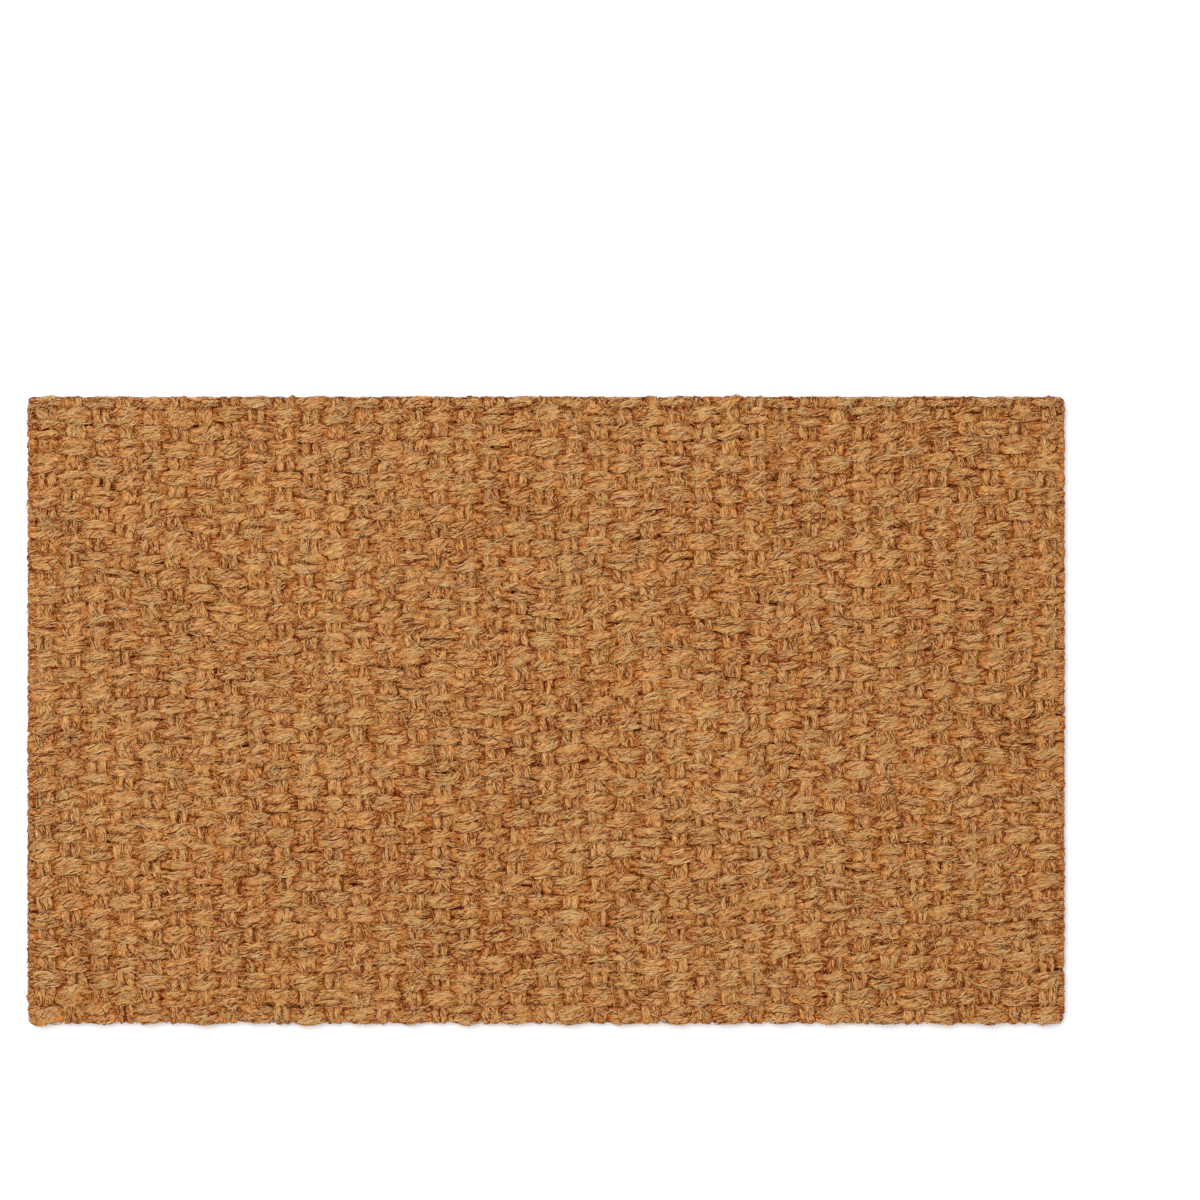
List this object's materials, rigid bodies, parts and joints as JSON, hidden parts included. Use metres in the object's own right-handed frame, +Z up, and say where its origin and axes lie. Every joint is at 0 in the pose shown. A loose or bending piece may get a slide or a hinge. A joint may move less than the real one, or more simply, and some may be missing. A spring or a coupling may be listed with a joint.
{
  "type": "woven coir door mat",
  "caption": "Rectangular door mat of thick coir yarn pairs in a basket weave, bonded to a thin black anti-slip rubber backing, with plain cut edges.",
  "frame": {"origin": "on the floor, under the centre of the mat", "axes": "+X along the long side, +Y towards the back long edge, +Z up, out of the tread side"},
  "size_m": [0.762, 0.46, 0.0148],
  "materials": {
    "coir_weft": "matte",
    "coir_warp": "matte",
    "backing_rubber": "matte",
    "bonding_coat": "matte"
  },
  "bodies": {
    "root": {"backing_sheet": "backing_rubber", "bonding_coat": "bonding_coat", "warp_group_01": "coir_warp", "warp_group_02": "coir_warp", "warp_group_03": "coir_warp", "warp_group_04": "coir_warp", "warp_group_05": "coir_warp", "warp_group_06": "coir_warp", "warp_group_07": "coir_warp", "warp_group_08": "coir_warp", "warp_group_09": "coir_warp", "warp_group_10": "coir_warp", "warp_group_11": "coir_warp", "warp_group_12": "coir_warp", "warp_group_13": "coir_warp", "weft_01": "coir_weft", "weft_02": "coir_weft", "weft_03": "coir_weft", "weft_04": "coir_weft", "weft_05": "coir_weft", "weft_06": "coir_weft", "weft_07": "coir_weft", "weft_08": "coir_weft", "weft_09": "coir_weft", "weft_10": "coir_weft", "weft_11": "coir_weft", "weft_12": "coir_weft", "weft_13": "coir_weft", "weft_14": "coir_weft", "weft_15": "coir_weft", "weft_16": "coir_weft", "weft_17": "coir_weft", "weft_18": "coir_weft", "weft_19": "coir_weft", "weft_20": "coir_weft", "weft_21": "coir_weft", "weft_22": "coir_weft", "weft_23": "coir_weft", "weft_24": "coir_weft", "weft_25": "coir_weft", "weft_26": "coir_weft", "weft_27": "coir_weft", "weft_28": "coir_weft", "weft_29": "coir_weft", "weft_30": "coir_weft", "weft_31": "coir_weft", "weft_32": "coir_weft", "weft_33": "coir_weft", "weft_34": "coir_weft", "weft_35": "coir_weft", "weft_36": "coir_weft", "weft_37": "coir_weft", "weft_38": "coir_weft", "weft_39_single": "coir_weft"}
  },
  "joints": []
}
